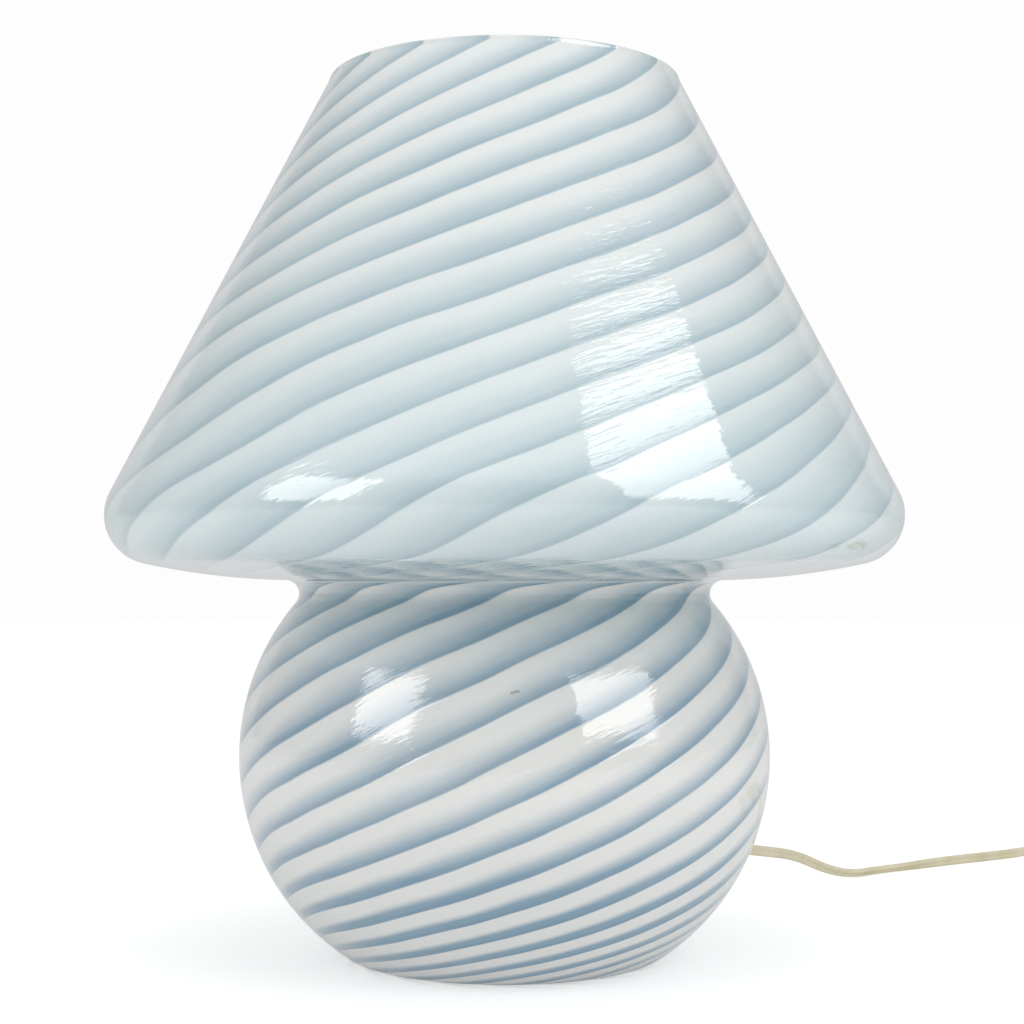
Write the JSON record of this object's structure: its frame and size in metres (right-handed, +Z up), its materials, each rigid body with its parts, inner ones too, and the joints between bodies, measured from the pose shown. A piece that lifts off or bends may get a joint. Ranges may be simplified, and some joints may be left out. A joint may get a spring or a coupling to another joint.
{
  "type": "mushroom table lamp",
  "caption": "Mushroom-shaped table lamp blown in one piece of swirled opal glass, with an open top, an inner screw lampholder and bulb, and a cord with switch and plug.",
  "frame": {"origin": "on the table under the middle of the glass body", "axes": "+Z up along the glass body's axis, +Y towards the back where the cord leaves"},
  "size_m": [0.3606, 0.6983, 0.4],
  "materials": {
    "swirl_glass": "opal white cased glass with blue-grey spiral bands, glossy",
    "black_rubber": "matt black rubber",
    "zinc_steel": "zinc plated",
    "lamp_brass": "satin brass",
    "contact_brass": "plain brass strip",
    "porcelain": "glazed white porcelain",
    "ivory_cord": "ivory flexible PVC",
    "ivory_plastic": "moulded ivory plastic",
    "tie_plastic": "soft white strap",
    "bulb_opal": "opal white bulb glass",
    "bulb_metal": "nickel plated",
    "bulb_clear": "clear bulb stem",
    "filament_wire": "fine wire",
    "black_insulator": "black insulator"
  },
  "bodies": {
    "lamp": {"glass_body": "swirl_glass", "outer_washer": "black_rubber", "inner_washer": "black_rubber", "bracket_pad": "black_rubber", "entry_nipple": "zinc_steel", "holder_nipple": "zinc_steel", "locknuts": "zinc_steel", "bracket": "zinc_steel", "collar_nut": "lamp_brass", "strain_relief": "ivory_plastic", "holder_body": "porcelain", "screw_shell": "contact_brass", "centre_contact": "contact_brass", "terminals": "contact_brass", "terminal_screws": "zinc_steel", "inner_flex": "ivory_cord", "neutral_core": "ivory_cord", "live_core": "ivory_cord", "cord_run": "ivory_cord", "cord_link": "ivory_cord", "cord_tail": "ivory_cord", "cord_coil": "ivory_cord", "coil_tie": "tie_plastic", "switch_base": "ivory_plastic", "switch_cover": "ivory_plastic", "switch_screws": "zinc_steel", "switch_contacts": "contact_brass", "plug_body": "ivory_plastic", "plug_pins": "bulb_metal", "pin_sleeves": "black_insulator"},
    "bulb": {"bulb_glass": "bulb_opal", "bulb_cap": "bulb_metal", "bulb_insulator": "black_insulator", "bulb_tip": "bulb_metal", "bulb_stem": "bulb_clear", "bulb_filament": "filament_wire"},
    "rocker": {"switch_rocker": "ivory_plastic"}
  },
  "joints": [
    {"name": "bulb_lift", "type": "slide", "parent": "lamp", "child": "bulb", "axis": [0, 0, 1], "range_m": [0, 0.38]},
    {"name": "rocker_tip", "type": "hinge", "parent": "lamp", "child": "rocker", "pos_m": [0.097, 0.506, 0.0104], "axis": [0, 1, 0], "range_deg": [0, 16]}
  ]
}
